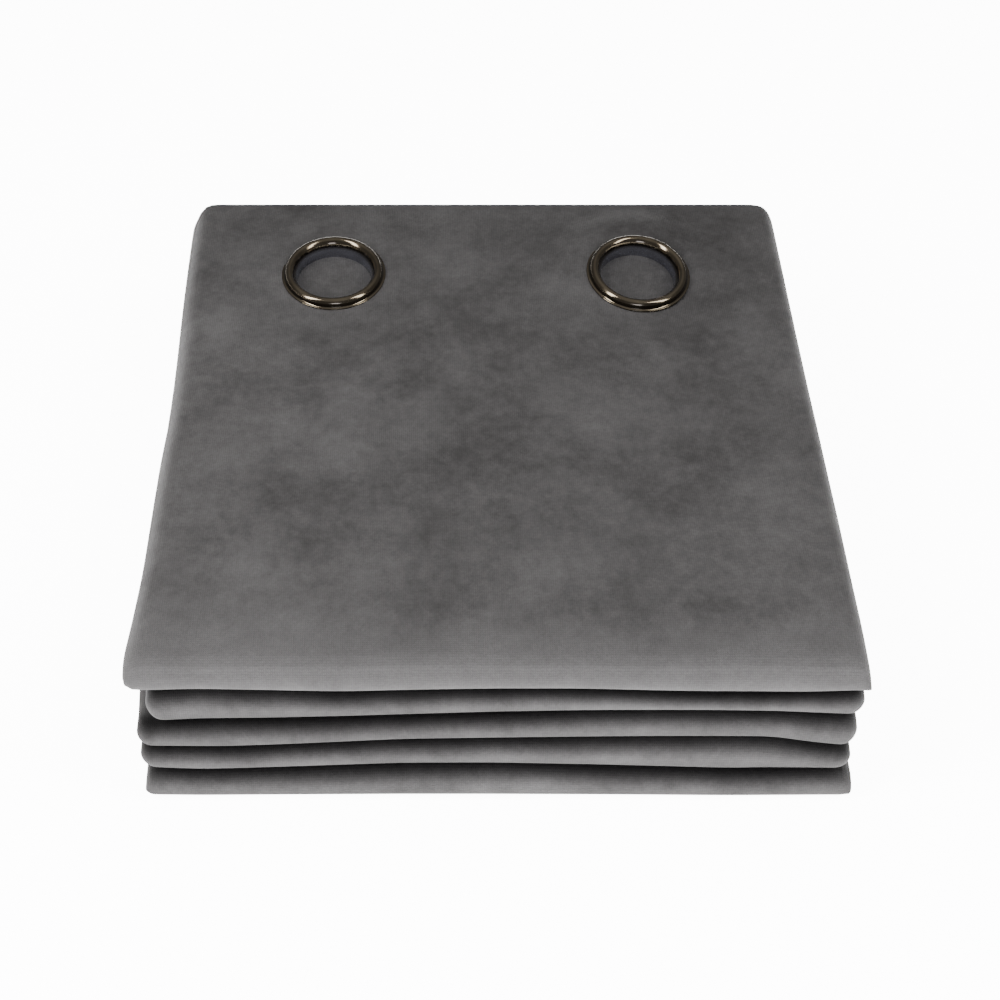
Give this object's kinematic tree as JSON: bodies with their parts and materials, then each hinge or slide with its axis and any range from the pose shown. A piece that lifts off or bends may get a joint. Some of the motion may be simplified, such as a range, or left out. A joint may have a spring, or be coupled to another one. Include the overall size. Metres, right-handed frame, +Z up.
{
  "type": "folded eyelet curtain panel",
  "caption": "Velvet room curtain panel folded flat into a block of pads, with metal eyelets along its stiffened header; it fans open at its side creases.",
  "frame": {"origin": "middle of the folded panel's underside, on the surface it lies on", "axes": "+X to the right as seen from the folded spine, +Y from the spine towards the header edge, +Z up through the pads"},
  "size_m": [0.3346, 0.345, 0.1062],
  "materials": {
    "velvet": "matte",
    "header_tape": "matte",
    "eyelet_metal": "polished",
    "eyelet_back_metal": "satin"
  },
  "bodies": {
    "pad_5": {"velvet_pad_5": "velvet", "header_cloth_5": "velvet", "header_stiffener_5": "header_tape", "eyelet_face_5A": "eyelet_metal", "eyelet_face_5B": "eyelet_metal", "eyelet_back_5A": "eyelet_back_metal", "eyelet_back_5B": "eyelet_back_metal"},
    "pad_4": {"velvet_pad_4": "velvet", "header_cloth_4": "velvet", "header_stiffener_4": "header_tape", "eyelet_face_4A": "eyelet_metal", "eyelet_face_4B": "eyelet_metal", "eyelet_back_4A": "eyelet_back_metal", "eyelet_back_4B": "eyelet_back_metal"},
    "pad_3": {"velvet_pad_3": "velvet", "header_cloth_3": "velvet", "header_stiffener_3": "header_tape", "eyelet_face_3A": "eyelet_metal", "eyelet_face_3B": "eyelet_metal", "eyelet_back_3A": "eyelet_back_metal", "eyelet_back_3B": "eyelet_back_metal"},
    "pad_2": {"velvet_pad_2": "velvet", "header_cloth_2": "velvet", "header_stiffener_2": "header_tape", "eyelet_face_2A": "eyelet_metal", "eyelet_face_2B": "eyelet_metal", "eyelet_back_2A": "eyelet_back_metal", "eyelet_back_2B": "eyelet_back_metal"},
    "pad_1": {"velvet_pad_1": "velvet", "header_cloth_1": "velvet", "header_stiffener_1": "header_tape", "eyelet_face_1A": "eyelet_metal", "eyelet_face_1B": "eyelet_metal", "eyelet_back_1A": "eyelet_back_metal", "eyelet_back_1B": "eyelet_back_metal"}
  },
  "joints": [
    {"name": "crease_45", "type": "hinge", "parent": "pad_5", "child": "pad_4", "pos_m": [-0.1675, 0, 0.0202], "axis": [0, -1, 0], "range_deg": [0, 180]},
    {"name": "crease_34", "type": "hinge", "parent": "pad_4", "child": "pad_3", "pos_m": [0.1675, 0, 0.0406], "axis": [0, 1, 0], "range_deg": [0, 180]},
    {"name": "crease_23", "type": "hinge", "parent": "pad_3", "child": "pad_2", "pos_m": [-0.1675, 0, 0.061], "axis": [0, -1, 0], "range_deg": [0, 180]},
    {"name": "crease_12", "type": "hinge", "parent": "pad_2", "child": "pad_1", "pos_m": [0.1675, 0, 0.0814], "axis": [0, 1, 0], "range_deg": [0, 180]}
  ],
  "couplings": [
    {"joint": "crease_34", "follows": "crease_45", "ratio": 1},
    {"joint": "crease_23", "follows": "crease_45", "ratio": 1},
    {"joint": "crease_12", "follows": "crease_45", "ratio": 1}
  ]
}
